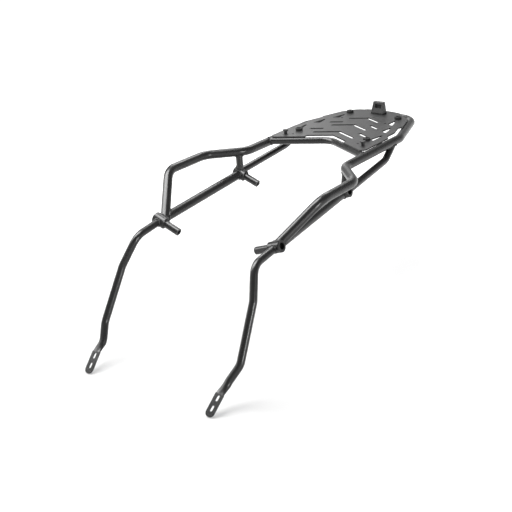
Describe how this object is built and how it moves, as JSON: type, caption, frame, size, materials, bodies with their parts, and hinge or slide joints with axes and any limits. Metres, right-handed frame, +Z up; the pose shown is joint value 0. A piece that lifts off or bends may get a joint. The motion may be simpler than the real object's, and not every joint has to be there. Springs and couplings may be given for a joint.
{
  "type": "motorcycle luggage rack",
  "caption": "Rear rack for a motorcycle: a welded tube frame with grab rails, tilted bolt bosses and pressed leg ends carries a slotted plate with rubber feet, studs and a case catch.",
  "frame": {"origin": "on the carrying plate's top face, on the centre line near the plate's middle", "axes": "+X to the rider's left, +Y to the motorcycle's rear, +Z up, with the plate level"},
  "size_m": [0.412, 0.9472, 0.3698],
  "materials": {
    "frame_coat": "satin black powder coat",
    "plate_coat": "fine satin black powder coat",
    "foot_rubber": "matt black",
    "stud_coat": "satin black",
    "block_plastic": "moulded black",
    "pad_plastic": "matt black",
    "dark_steel": "black oxide"
  },
  "bodies": {
    "root": {"main_loop_tube": "frame_coat", "front_cross_tube": "frame_coat", "left_lower_rail": "frame_coat", "right_lower_rail": "frame_coat", "left_rear_brace": "frame_coat", "right_rear_brace": "frame_coat", "left_strut": "frame_coat", "right_strut": "frame_coat", "left_leg": "frame_coat", "right_leg": "frame_coat", "left_front_collar": "frame_coat", "right_front_collar": "frame_coat", "left_rear_collar": "frame_coat", "right_rear_collar": "frame_coat", "left_front_spacer": "frame_coat", "right_front_spacer": "frame_coat", "left_rear_spacer": "frame_coat", "right_rear_spacer": "frame_coat", "left_front_plate_tab": "frame_coat", "right_front_plate_tab": "frame_coat", "left_rear_plate_tab": "frame_coat", "right_rear_plate_tab": "frame_coat", "top_plate": "plate_coat", "left_front_rubber_foot": "foot_rubber", "right_front_rubber_foot": "foot_rubber", "left_rear_rubber_foot": "foot_rubber", "right_rear_rubber_foot": "foot_rubber", "left_locating_stud": "stud_coat", "right_locating_stud": "stud_coat", "catch_block": "block_plastic", "catch_block_pad": "pad_plastic", "catch_block_screws": "dark_steel", "foot_screws": "dark_steel", "foot_nuts": "dark_steel", "stud_nuts": "dark_steel"}
  },
  "joints": []
}
